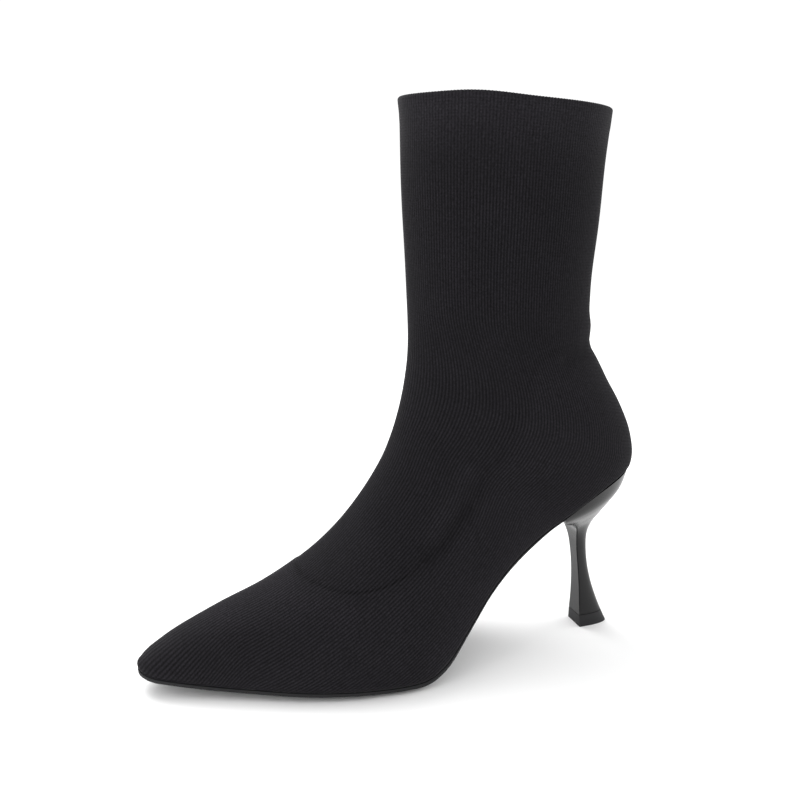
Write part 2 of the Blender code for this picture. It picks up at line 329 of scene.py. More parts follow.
def depth_inside(x: np.ndarray, z: np.ndarray, outline: Sequence[ProfilePoint]) -> np.ndarray:
    """Measure how far points of the side view lie inside a closed outline.

    Args:
        x: Places along the boot, in metres.
        z: Heights, in metres.
        outline: The corners of the outline, in millimetres.

    Returns:
        The distance to the outline, in metres, positive inside it and negative outside.
    """
    corners = np.array(outline) * MM
    inside = np.zeros(x.shape, dtype=bool)
    for (x0, z0), (x1, z1) in zip(corners, np.roll(corners, -1, axis=0)):
        if z0 != z1:
            inside ^= ((z0 > z) != (z1 > z)) & (x < (x1 - x0) * (z - z0) / (z1 - z0) + x0)
    nearest = distance_to(x, z, (*outline, outline[0]))
    return np.where(inside, nearest, -nearest)


# The last


class Surface(NamedTuple):
    """Rings of the last: one row for each ring, from the inner underside over the ridge to the outer one."""

    points: np.ndarray
    normals: np.ndarray
    arcs: np.ndarray  # signed length from the ridge, positive down the outer side


@dataclass
class Last:
    """The form that the boot is pulled over, read from the same tables as the CAD's.

    Whole numbers are rows of the table of sections. Numbers from -1 to 0 are the round end of the toe.
    """

    nose_length: float = 9.5 * MM
    nose_height: float = 13.0 * MM
    nose_roundness: float = 2.6
    nose_steps: int = 36  # the CAD's points in a ring, which set the middle of the nose
    samples: int = 90  # points in each quarter of a ring
    probe: float = 0.05  # a short way from section to section, to measure along them

    @property
    def collar(self) -> float:
        """Number of the section at the collar."""
        return len(SECTIONS) - 1.0

    @property
    def top_row_length(self) -> float:
        """The distance from one section to the next at the collar, if they went on as there."""
        high = self.ring_points(np.array([self.collar - self.probe, self.collar]))
        return float(np.linalg.norm(high[1] - high[0], axis=-1).mean()) / self.probe

    def angles(self) -> np.ndarray:
        """Angles of a ring's points, closest together where its sides turn."""
        quarter = (1 - np.cos(np.linspace(0, math.pi, self.samples + 1))) * math.pi / 4
        half = np.concatenate([quarter, math.pi / 2 + quarter[1:]])
        return np.concatenate([-half[:0:-1], half])

    @staticmethod
    def section_points(numbers: np.ndarray, angles: np.ndarray) -> np.ndarray:
        """Give the points of sections of the table.

        Args:
            numbers: Numbers of the sections, 0 or more.
            angles: Angles from the ridge, positive down the outer side.

        Returns:
            The points as an array of sections by angles by 3.
        """
        rows = Section(*smooth(np.array(SECTIONS), numbers).T[:, :, None])
        cosine, sine = np.cos(angles)[None], np.abs(np.sin(angles))[None]
        power = 2.0 / np.where(cosine >= 0, rows.top_power, rows.low_power)
        rise = np.sign(cosine) * np.abs(cosine) ** power
        across = np.where(angles[None] > 0, -rows.outer, rows.inner)
        middle = np.where(cosine >= 0, rows.ridge_y, (rows.inner - rows.outer) / 2)
        share = rows.widest + rise * np.where(rise >= 0, 1 - rows.widest, rows.widest)
        return MM * np.stack([
            rows.low_x + (rows.top_x - rows.low_x) * share,
            middle + (across - middle) * sine**power,
            rows.low_z + (rows.top_z - rows.low_z) * share,
        ], axis=-1)

    def nose_points(self, numbers: np.ndarray, angles: np.ndarray) -> np.ndarray:
        """Give the points of rings of the round end, which go on with the taper and shrink to the tip.

        Args:
            numbers: Numbers of the rings, from -1 at the tip to 0 at the first section.
            angles: Angles from the ridge, positive down the outer side.

        Returns:
            The points as an array of rings by angles by 3.
        """
        reach = -numbers[:, None, None]
        ends = np.array([0.0, 0.5])
        first, inside = self.section_points(ends, angles)
        even = math.tau * np.arange(self.nose_steps) / self.nose_steps
        even = np.where(even > math.pi, even - math.tau, even)
        first_middle, inside_middle = self.section_points(ends, even).mean(axis=1)
        ridge_first, ridge_inside = self.section_points(ends, np.zeros(1))[:, 0]
        taper = self.nose_length / np.linalg.norm(ridge_first - ridge_inside)
        ahead = first + (first - inside) * taper * reach
        middle = first_middle + (first_middle - inside_middle) * taper * reach
        middle[..., 2] = self.nose_height
        return middle + (ahead - middle) * np.sqrt(np.clip(1 - reach**self.nose_roundness, 0, None))

    def ring_points(self, numbers: np.ndarray) -> np.ndarray:
        """Give the points of any rings, as an array of rings by angles by 3."""
        angles = self.angles()
        points = np.empty((len(numbers), len(angles), 3))
        nose = numbers < 0
        points[nose] = self.nose_points(numbers[nose], angles)
        points[~nose] = self.section_points(numbers[~nose], angles)
        return points

    def surface(self, numbers: np.ndarray) -> Surface:
        """Give rings with their outward normals and their lengths from the ridge."""
        points = self.ring_points(numbers)
        nudge = np.where(numbers < 0, 0.002, 0.01)
        low = np.clip(numbers - nudge, np.where(numbers < 0, -0.9999, 0.0), None)
        high = np.clip(numbers + nudge, None, np.where(numbers < 0, 0.0, self.collar))
        along = self.ring_points(high) - self.ring_points(low)
        around = np.gradient(points, axis=1)
        closed = points[:, 1] - points[:, -2]
        around[:, 0], around[:, -1] = closed, closed
        normals = np.cross(around, along)
        size = np.linalg.norm(normals, axis=-1, keepdims=True)
        normals = np.where(size > 0, normals / np.where(size > 0, size, 1), (-1.0, 0.0, 0.0))
        normals[numbers <= -0.9999] = (-1.0, 0.0, 0.0)
        steps = np.linalg.norm(np.diff(points, axis=1), axis=-1)
        lengths = np.concatenate([np.zeros((len(points), 1)), np.cumsum(steps, axis=1)], axis=1)
        return Surface(points, normals, lengths - lengths[:, [points.shape[1] // 2]])

    @staticmethod
    def end_arcs(surface: Surface, above: float, line: Callable[[np.ndarray], np.ndarray]) -> np.ndarray:
        """Find where each ring comes down to a line, or its underside if it stays above it.

        Args:
            surface: The rings.
            above: How far above the line they end.
            line: Gives the line's height for places along the boot.

        Returns:
            The lengths from the ridge on the inner and on the outer side, as an array of rings by 2.
        """
        height = surface.points[..., 2] - line(surface.points[..., 0]) - above
        middle = height.shape[1] // 2
        ends = np.empty((len(height), 2))
        for side, (drop, arcs) in enumerate((
            (height[:, middle::-1], -surface.arcs[:, middle::-1]),
            (height[:, middle:], surface.arcs[:, middle:]),
        )):
            after = np.where((drop < 0).any(axis=1), np.argmax(drop < 0, axis=1), drop.shape[1] - 1)
            after = np.maximum(after, 1)
            ring = np.arange(len(drop))
            from_z, to_z = drop[ring, after - 1], drop[ring, after]
            share = np.where(to_z < 0, from_z / (from_z - to_z + 1e-12), 1.0)
            ends[:, side] = arcs[ring, after - 1] + (arcs[ring, after] - arcs[ring, after - 1]) * share
        return ends

    @staticmethod
    def pick(surface: Surface, arcs: np.ndarray) -> tuple[np.ndarray, np.ndarray]:
        """Read points and normals at lengths from the ridge.

        Args:
            surface: The rings.
            arcs: The wanted lengths, one row for each ring.

        Returns:
            The points and the unit normals, each as an array of rings by lengths by 3.
        """
        points, normals = np.empty((*arcs.shape, 3)), np.empty((*arcs.shape, 3))
        for row, wanted in enumerate(arcs):
            for axis in range(3):
                points[row, :, axis] = np.interp(wanted, surface.arcs[row], surface.points[row, :, axis])
                normals[row, :, axis] = np.interp(wanted, surface.arcs[row], surface.normals[row, :, axis])
        size = np.linalg.norm(normals, axis=-1, keepdims=True)
        return points, normals / np.where(size > 1e-9, size, 1)

    def row_numbers(self, spacing: float, above: float,
                    line: Callable[[np.ndarray], np.ndarray]) -> np.ndarray:
        """Number the rings from the tip to the collar, none further than the spacing from the next.

        Args:
            spacing: The distance along the ridge or along the line, whichever is longer.
            above: How far above the line the rings end.
            line: Gives the line's height for places along the boot.

        Returns:
            The numbers, from -1 to the collar's.
        """
        nose = -np.sin(np.linspace(math.pi / 2, 0, 120))
        dense = np.concatenate([nose[:-1], np.linspace(0, self.collar, 1500)])
        surface = self.surface(dense)
        ends = self.end_arcs(surface, above, line)
        tracked, _ = self.pick(surface, np.stack([-ends[:, 0], np.zeros(len(dense)), ends[:, 1]], axis=1))
        gaps = np.linalg.norm(np.diff(tracked, axis=0), axis=-1).max(axis=1)
        lengths = np.append(0.0, np.cumsum(gaps))
        count = math.ceil(lengths[-1] / spacing) + 1
        return np.interp(np.linspace(0, lengths[-1], count), lengths, dense)

    def outline(self, count: int, line: Callable[[np.ndarray], np.ndarray],
                end_x: float | None = None) -> tuple[np.ndarray, np.ndarray]:
        """Trace where the last's sides come down to a line.

        Args:
            count: How many points each side gets, the toe's tip included.
            line: Gives the line's height for places along the boot.
            end_x: Where the sides are cut off, or None to go round the back of the heel.

        Returns:
            The inner and the outer side, each from the toe's tip back.
        """
        numbers = self.row_numbers(0.4 * MM, 0.0, line)
        surface = self.surface(numbers)
        ends = self.end_arcs(surface, 0.0, line)
        full = np.stack([-surface.arcs[:, 0], surface.arcs[:, -1]], axis=1)
        meets = (ends < full - 1e-7).all(axis=1)
        sides = []
        for arcs, sign in ((ends[:, 0], -1), (ends[:, 1], 1)):
            path = self.pick(surface, sign * arcs[:, None])[0][meets, 0]
            tip, back = path[0].copy(), path[-1].copy()
            tip[1] = back[1] = 0.0
            tip[0], back[0] = tip[0] - 0.02 * MM, back[0] + 0.02 * MM
            tip[1] = (SECTIONS[0].inner - SECTIONS[0].outer) / 2 * MM
            path = np.vstack([tip, path] if end_x is not None else [tip, path, back])
            if end_x is not None:
                beyond = int(np.argmax(path[:, 0] > end_x))
                before, after = path[beyond - 1], path[beyond]
                cut = before + (after - before) * (end_x - before[0]) / (after[0] - before[0])
                path = np.vstack([path[:beyond], cut])
            lengths = np.append(0.0, np.cumsum(np.linalg.norm(np.diff(path, axis=0), axis=1)))
            places = np.linspace(0, lengths[-1], count)
            sides.append(np.stack([np.interp(places, lengths, path[:, axis]) for axis in range(3)], axis=1))
        return sides[0], sides[1]


# Meshes, made with Blender's own tools

MERGE = 0.003 * MM  # points closer than this are one
SLIVER = 0.001 * MM
LOOSE_SLIVER = 0.002 * MM


def deselect_all() -> None:
    """Leave no object selected."""
    for thing in bpy.context.selected_objects:
        thing.select_set(False)


def make_active(thing: bpy.types.Object) -> None:
    """Select one object alone and make it active."""
    deselect_all()
    thing.select_set(True)
    bpy.context.view_layer.objects.active = thing


def shaped_grid(name: str, points: np.ndarray, uv: np.ndarray | None = None,
                carried: dict[str, np.ndarray] | None = None) -> bpy.types.Object:
    """Add a grid and pull its points into place, then merge those that meet.

    Args:
        name: The object's name.
        points: The places, as an array of rows by columns by 3.
        uv: The UV of each point, as an array of rows by columns by 2, or None.
        carried: Numbers that the points carry for their material, by name, or None.

    Returns:
        The new object, selected alone, at the origin.
    """
    rows, columns = points.shape[:2]
    deselect_all()
    bpy.ops.mesh.primitive_grid_add(
        x_subdivisions=columns - 1, y_subdivisions=rows - 1, size=1.0, calc_uvs=uv is not None)
    thing = bpy.context.active_object
    thing.name = thing.data.name = name
    mesh = thing.data
    mesh.vertices.foreach_set("co", points.astype(np.float32).ravel())
    if uv is not None:
        corners = np.empty(len(mesh.loops), dtype=np.int32)
        mesh.loops.foreach_get("vertex_index", corners)
        layer = mesh.uv_layers[0]
        layer.name = "cloth"
        layer.uv.foreach_set("vector", uv.reshape(-1, 2)[corners].astype(np.float32).ravel())
    for label, values in (carried or {}).items():
        layer = mesh.attributes.new(label, "FLOAT", "POINT")
        layer.data.foreach_set("value", values.astype(np.float32).ravel())
    mesh.update()
    bpy.ops.object.mode_set(mode="EDIT")
    bpy.ops.mesh.select_all(action="SELECT")
    bpy.ops.mesh.remove_doubles(threshold=MERGE)
    bpy.ops.mesh.dissolve_degenerate(threshold=SLIVER)
    bpy.ops.object.mode_set(mode="OBJECT")
    return thing


def bevel_sharp_edges(thing: bpy.types.Object, width: float, angle: float, segments: int = 3) -> None:
    """Round off every edge that is sharper than an angle.

    Args:
        thing: The object.
        width: The width of the rounding.
        angle: The least angle between the faces, in degrees.
        segments: How many faces make the rounding.
    """
    make_active(thing)
    bpy.ops.object.mode_set(mode="EDIT")
    bpy.ops.mesh.select_mode(type="EDGE")
    bpy.ops.mesh.select_all(action="DESELECT")
    bpy.ops.mesh.edges_select_sharp(sharpness=math.radians(angle))
    bpy.ops.mesh.bevel(offset=width, segments=segments, affect="EDGES", clamp_overlap=True)
    bpy.ops.mesh.select_mode(type="VERT")
    bpy.ops.object.mode_set(mode="OBJECT")


def face_outwards(thing: bpy.types.Object) -> None:
    """Turn every face of a closed piece outwards, also where a fold misleads Blender's own rule."""
    make_active(thing)
    bpy.ops.object.mode_set(mode="EDIT")
    bpy.ops.mesh.select_all(action="SELECT")
    bpy.ops.mesh.dissolve_degenerate(threshold=LOOSE_SLIVER)
    bpy.ops.mesh.select_all(action="SELECT")
    bpy.ops.mesh.normals_make_consistent(inside=False)
    shape = bmesh.from_edit_mesh(thing.data)
    if shape.calc_volume(signed=True) < 0:
        bpy.ops.mesh.flip_normals()
    bpy.ops.object.mode_set(mode="OBJECT")


def shade(thing: bpy.types.Object, angle: float | None = None) -> None:
    """Shade smooth all over, or only where faces meet at less than an angle in degrees."""
    make_active(thing)
    if angle is None:
        bpy.ops.object.shade_smooth()
    else:
        bpy.ops.object.shade_smooth_by_angle(angle=math.radians(angle))


def finish_piece(thing: bpy.types.Object, material: bpy.types.Material, node: Node) -> None:
    """Give a piece its material and tell the frame what it rides on and stands for.

    Args:
        thing: The piece.
        material: Its material.
        node: The CAD node that it stands for.
    """
    thing.data.materials.clear()
    thing.data.materials.append(material)
    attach(thing, "root")
    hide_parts(node.value)
    LOG.info("%s: %d faces, stands for %s", thing.name, len(thing.data.polygons), node.value)


# Materials


class Recipe:
    """A material under way: adds nodes and links them."""

    def __init__(self, name: str) -> None:
        """Start a material with a plain Principled shader."""
        self.material = bpy.data.materials.new(name)
        self.material.use_nodes = True
        self.nodes = self.material.node_tree.nodes
        self.links = self.material.node_tree.links
        self.shader = self.nodes["Principled BSDF"]

    def feed(self, socket: bpy.types.NodeSocket, value: object) -> None:
        """Link a socket to a value's socket, or set it to a plain value."""
        if isinstance(value, bpy.types.NodeSocket):
            self.links.new(value, socket)
        else:
            socket.default_value = value

    def constant(self, **values: object) -> None:
        """Set sockets of the shader, named with underscores for spaces."""
        for name, value in values.items():
            self.shader.inputs[name.replace("_", " ").title().replace("Ior", "IOR")].default_value = value

    def math(self, operation: str, *values: object) -> bpy.types.NodeSocket:
        """Add a Math node."""
        node = self.nodes.new("ShaderNodeMath")
        node.operation = operation
        for socket, value in zip(node.inputs, values):
            self.feed(socket, value)
        return node.outputs[0]

    def mix(self, share: object, low: object, high: object) -> bpy.types.NodeSocket:
        """Mix two colours."""
        node = self.nodes.new("ShaderNodeMix")
        node.data_type = "RGBA"
        for index, value in ((0, share), (6, low), (7, high)):
            self.feed(node.inputs[index], value)
        return node.outputs[2]

    def weighted(self, *parts: tuple[object, float]) -> bpy.types.NodeSocket:
        """Add up values, each times its weight."""
        products = [self.math("MULTIPLY", value, weight) for value, weight in parts]
        total = products[0]
        for product in products[1:]:
            total = self.math("ADD", total, product)
        return total

    def scaled(self, colour: object, factor: object) -> bpy.types.NodeSocket:
        """Make a colour lighter or darker by a factor."""
        node = self.nodes.new("ShaderNodeVectorMath")
        node.operation = "SCALE"
        self.feed(node.inputs[0], colour)
        self.feed(node.inputs["Scale"], factor)
        return node.outputs[0]

    def surface(self, colour: object, roughness: object) -> None:
        """Give the shader its colour and its roughness."""
        self.feed(self.shader.inputs["Base Color"], colour)
        self.feed(self.shader.inputs["Roughness"], roughness)

    def spread(self, value: object, low: float, high: float, to_low: float,
               to_high: float) -> bpy.types.NodeSocket:
        """Map a range of values onto another, clamped."""
        node = self.nodes.new("ShaderNodeMapRange")
        for socket, item in zip(node.inputs, (value, low, high, to_low, to_high)):
            self.feed(socket, item)
        return node.outputs[0]

    def position(self) -> bpy.types.NodeSocket:
        """Object coordinates, in metres."""
        return self.nodes.new("ShaderNodeTexCoord").outputs["Object"]

    def cloth_uv(self) -> tuple[bpy.types.NodeSocket, bpy.types.NodeSocket]:
        """The piece's own UV: ribs across and courses along."""
        source = self.nodes.new("ShaderNodeUVMap")
        source.uv_map = "cloth"
        split = self.nodes.new("ShaderNodeSeparateXYZ")
        self.links.new(source.outputs[0], split.inputs[0])
        return split.outputs[0], split.outputs[1]

    def attribute(self, name: str) -> bpy.types.NodeSocket:
        """A number that the piece's own points carry."""
        node = self.nodes.new("ShaderNodeAttribute")
        node.attribute_name = name
        return node.outputs["Fac"]

    def noise(self, at: object, per_metre: float, detail: float = 2.0,
              rough: float = 0.5) -> bpy.types.NodeSocket:
        """Add noise of so many grains per metre, from 0 to 1."""
        node = self.nodes.new("ShaderNodeTexNoise")
        self.links.new(at, node.inputs["Vector"])
        node.inputs["Scale"].default_value = per_metre
        node.inputs["Detail"].default_value = detail
        node.inputs["Roughness"].default_value = rough
        return node.outputs[0]

    def wave(self, value: object) -> bpy.types.NodeSocket:
        """A cosine of whole turns, from 0 to 1 and highest at whole numbers."""
        turned = self.math("COSINE", self.math("MULTIPLY", value, math.tau))
        return self.math("MULTIPLY_ADD", turned, 0.5, 0.5)

    def bump(self, height: object, distance: float, strength: float = 1.0) -> None:
        """Raise the surface by a height from 0 to 1 times a distance in metres."""
        node = self.nodes.new("ShaderNodeBump")
        self.feed(node.inputs["Height"], height)
        node.inputs["Distance"].default_value = distance
        node.inputs["Strength"].default_value = strength
        self.links.new(node.outputs[0], self.shader.inputs["Normal"])


@dataclass(frozen=True)
class RibKnit:
    """Fine rib knit: matt yarn, with painted shade between the ribs, and the loops of the stitches along
    them.
    """

    crest: Colour = (0.0145, 0.0134, 0.0160, 1.0)
    # painted shade: the colour between the ribs, darker than on their crests
    groove: Colour = (0.0022, 0.0020, 0.0025, 1.0)
    fibres_per_metre: float = 2600.0
    stitches_per_metre: float = 1150.0
    patches_per_metre: float = 55.0
    stitch_range: tuple[float, float] = (0.60, 1.40)  # from the darkest to the lightest stitch
    patch_range: tuple[float, float] = (0.92, 1.08)
    roughness: float = 0.80
    fibre_roughness: float = 0.97
    sheen: float = 0.07
    sheen_roughness: float = 0.35
    specular: float = 0.10
    seam_shade: float = 0.16  # painted shade in the seam's groove: how much of the colour is left there
    loop_height: float = 0.10 * MM
    loop_lean: float = 0.35  # how far the loops reach up along the crest, in courses

    def material(self) -> bpy.types.Material:
        """Make the material."""
        recipe = Recipe("rib_knit")
        ribs, courses = recipe.cloth_uv()
        at = recipe.position()
        crest = recipe.math("SUBTRACT", recipe.wave(ribs), 0.5)
        crest = recipe.math("MULTIPLY_ADD", crest, recipe.attribute("rib"), 0.5)
        loops = recipe.wave(recipe.math("MULTIPLY_ADD", crest, self.loop_lean, courses))
        fibre = recipe.noise(at, self.fibres_per_metre, 3.0, 0.6)
        stitches = recipe.noise(at, self.stitches_per_metre, 2.0, 0.7)
        patches = recipe.noise(at, self.patches_per_metre)
        # painted shade between the ribs: the colour darkens from the crests into the grooves
        yarn_and_groove_shade = recipe.weighted((crest, 0.60), (loops, 0.10), (fibre, 0.46))
        colour = recipe.mix(recipe.spread(yarn_and_groove_shade, 0.12, 1.0, 0.0, 1.0), self.groove, self.crest)
        light = recipe.math("MULTIPLY", recipe.spread(patches, 0.25, 0.75, *self.patch_range),
                            recipe.spread(stitches, 0.3, 0.7, *self.stitch_range))
        # lightness from place to place, painted light and shade included
        light = recipe.math("MULTIPLY", light, recipe.attribute("tone_with_painted_light"))
        # painted shade in the seam's groove, dotted where the ribs cross it
        dots = recipe.math("MULTIPLY", recipe.attribute("seam"), recipe.spread(crest, 0.1, 0.7, 1.0, 0.15))
        light = recipe.math("MULTIPLY", light, recipe.spread(dots, 0.0, 1.0, 1.0, self.seam_shade))
        recipe.surface(recipe.scaled(colour, light),
                       recipe.spread(fibre, 0.3, 0.7, self.roughness, self.fibre_roughness))
        recipe.constant(sheen_weight=self.sheen, sheen_roughness=self.sheen_roughness,
                        specular_ior_level=self.specular)
        recipe.bump(recipe.weighted((loops, 0.4), (fibre, 0.4)), self.loop_height, 0.8)
        return recipe.material


@dataclass(frozen=True)
class TricotLining:
    """Smooth warp-knit lining with a fine straight grain."""

    base: Colour = (0.016, 0.015, 0.017, 1.0)
    dark: Colour = (0.006, 0.006, 0.007, 1.0)
    fibres_per_metre: float = 2200.0
    roughness: float = 0.82
    sheen: float = 0.06
    sheen_roughness: float = 0.4
    specular: float = 0.12
    weave_height: float = 0.08 * MM

    def material(self) -> bpy.types.Material:
        """Make the material."""
        recipe = Recipe("tricot_lining")
        ribs, courses = recipe.cloth_uv()
        fibre = recipe.noise(recipe.position(), self.fibres_per_metre)
        weave = recipe.weighted((recipe.wave(ribs), 0.5), (recipe.wave(courses), 0.25), (fibre, 0.25))
        recipe.surface(recipe.mix(weave, self.dark, self.base), self.roughness)
        recipe.constant(sheen_weight=self.sheen, sheen_roughness=self.sheen_roughness,
                        specular_ior_level=self.specular)
        recipe.bump(weave, self.weave_height, 0.7)
        return recipe.material


@dataclass(frozen=True)
class InsoleCloth:
    """Brushed microfibre on the insole."""

    base: Colour = (0.020, 0.019, 0.020, 1.0)
    dark: Colour = (0.010, 0.009, 0.010, 1.0)
    naps_per_metre: float = 1800.0
    clouds_per_metre: float = 140.0
    roughness: float = 0.78
    sheen: float = 0.08
    sheen_roughness: float = 0.4
    specular: float = 0.15
    nap_height: float = 0.06 * MM

    def material(self) -> bpy.types.Material:
        """Make the material."""
        recipe = Recipe("insole_cloth")
        at = recipe.position()
        nap = recipe.noise(at, self.naps_per_metre, 3.0, 0.6)
        cloud = recipe.noise(at, self.clouds_per_metre)
        both = recipe.weighted((nap, 0.6), (cloud, 0.4))
        recipe.surface(recipe.mix(both, self.dark, self.base), self.roughness)
        recipe.constant(sheen_weight=self.sheen, sheen_roughness=self.sheen_roughness,
                        specular_ior_level=self.specular)
        recipe.bump(nap, self.nap_height, 0.6)
        return recipe.material


@dataclass(frozen=True)
class SoleResin:
    """Moulded resin with a satin edge and a faint grain."""

    base: Colour = (0.010, 0.010, 0.011, 1.0)
    worn: Colour = (0.014, 0.014, 0.015, 1.0)
    grains_per_metre: float = 900.0
    clouds_per_metre: float = 60.0
    roughness: float = 0.55
    roughness_spread: float = 0.05
    specular: float = 0.20
    grain_height: float = 0.04 * MM

    def material(self) -> bpy.types.Material:
        """Make the material."""
        recipe = Recipe("sole_resin")
        at = recipe.position()
        grain = recipe.noise(at, self.grains_per_metre, 3.0, 0.6)
        cloud = recipe.noise(at, self.clouds_per_metre)
        recipe.surface(recipe.mix(cloud, self.base, self.worn), recipe.spread(
            grain, 0.3, 0.7, self.roughness - self.roughness_spread, self.roughness + self.roughness_spread))
        recipe.constant(specular_ior_level=self.specular)
        recipe.bump(grain, self.grain_height, 0.5)
        return recipe.material


@dataclass(frozen=True)
class HeelLacquer:
    """Black lacquer over moulded plastic, with a very soft ripple."""

    base: Colour = (0.0045, 0.0043, 0.0048, 1.0)
    dusted: Colour = (0.00405, 0.00387, 0.00432, 1.0)
    ripples_per_metre: float = 220.0
    dust_per_metre: float = 1500.0
    roughness: float = 0.22
    dust_roughness: float = 0.28
    specular: float = 0.29
    ripple_height: float = 0.03 * MM

    def material(self) -> bpy.types.Material:
        """Make the material."""
        recipe = Recipe("heel_lacquer")
        at = recipe.position()
        ripple = recipe.noise(at, self.ripples_per_metre)
        dust = recipe.noise(at, self.dust_per_metre)
        recipe.surface(recipe.mix(dust, self.dusted, self.base),
                       recipe.spread(dust, 0.2, 0.8, self.roughness, self.dust_roughness))
        recipe.constant(specular_ior_level=self.specular)
        recipe.bump(ripple, self.ripple_height, 0.25)
        return recipe.material


@dataclass(frozen=True)
class LiftRubber:
    """Dull black rubber with a fine moulded grain."""

    base: Colour = (0.013, 0.013, 0.014, 1.0)
    dark: Colour = (0.007, 0.007, 0.008, 1.0)
    grains_per_metre: float = 1400.0
    roughness: float = 0.55
    specular: float = 0.30
    grain_height: float = 0.06 * MM

    def material(self) -> bpy.types.Material:
        """Make the material."""
        recipe = Recipe("lift_rubber")
        grain = recipe.noise(recipe.position(), self.grains_per_metre, 3.0, 0.6)
        recipe.surface(recipe.mix(grain, self.dark, self.base), self.roughness)
        recipe.constant(specular_ior_level=self.specular)
        recipe.bump(grain, self.grain_height, 0.6)
        return recipe.material


# The pieces


@dataclass(frozen=True)
class KnitTonesAndPaintedLight:
    """How light the knit is, with painted light and shade, and how strong its ribs are, from place to place.
    """

    backing: float = 0.18  # lighter where the backing stretches it
    backing_span: Span = Span(-1.0, 6.0)  # inside the backing's edge
    collar: float = 0.46  # painted light: lighter towards the rim, where the light from above falls
    collar_span: Span = Span(2.0, 30.0)  # below the rim
    calm: float = 0.45  # how much weaker the ribs are where it is doubled
    calm_span: Span = Span(4.0, 45.0)  # below the rim
    crease: float = 0.18  # painted highlight on a ridge and painted shade in a trough
    vamp_highlight: float = 0.26  # painted highlight along the top ridge of the forefoot, where the light from above falls
    vamp_x: float = -176 * MM
    vamp_reach: float = 28 * MM
    vamp_edge: tuple[float, float] = (0.05, 0.50)  # as shares of the way across
    side: float = -0.13  # painted shade: darker on the sides of the toe
    side_span: Span = Span(-170.0, -130.0)
    side_place: float = 0.55
    side_width: float = 0.28
    arch_painted_light: float = 0.22  # painted light from the floor, lighter along the low edge of the waist
    arch_height: Span = Span(0.0, 30.0)
    arch_front: Span = Span(-112.0, -92.0)
    arch_back: Span = Span(-50.0, -25.0)

    def rib_strength(self, below_rim: np.ndarray) -> np.ndarray:
        """Give how strong the ribs are, 1 away from the collar."""
        return 1 - self.calm * (1 - self.calm_span.rise(below_rim))

    def lightness_with_painted_light(self, points: np.ndarray, below_rim: np.ndarray, across: np.ndarray) -> np.ndarray:
        """Give how light the knit is, with painted light and shade: 1 where nothing stretches it and nothing
        is painted.

        Args:
            points: Places on the last.
            below_rim: How far below the collar each lies.
            across: Where each lies on its ring, from 0 on the ridge to 1 at the end.

        Returns:
            One factor for each place.
        """
        x, z = points[..., 0], points[..., 2]
        backing = self.backing_span.rise(depth_inside(x, z, BACKING))
        # painted light, lighter towards the rim
        collar = 1 - self.collar_span.rise(below_rim)
        # painted highlight on the creases' ridges and painted shade in their troughs
        crease = sum(
            math.copysign(1.0, crease.height) * bell(distance_to(x, z, crease.line), crease.width * MM)
            for crease in CREASES)
        # painted highlight along the forefoot's top ridge
        vamp_highlight = bell(x - self.vamp_x, self.vamp_reach) * (1 - step_up(across, *self.vamp_edge))
        # painted shade on the sides of the toe
        side = (1 - self.side_span.rise(x)) * bell(across - self.side_place, self.side_width)
        # painted light from the floor, along the low edge of the waist
        low = 1 - self.arch_height.rise(z - feather_height(x))
        arch_painted_light = low * self.arch_front.rise(x) * (1 - self.arch_back.rise(x))
        # the backing's stretch, times painted light and shade
        stretch_and_painted_light = (1 + self.backing * backing) * (1 + self.arch_painted_light * arch_painted_light)
        stretch_and_painted_light = stretch_and_painted_light * (1 + self.vamp_highlight * vamp_highlight) * (1 + self.side * side)
        return stretch_and_painted_light * (1 + self.collar * collar) * (1 + self.crease * crease)


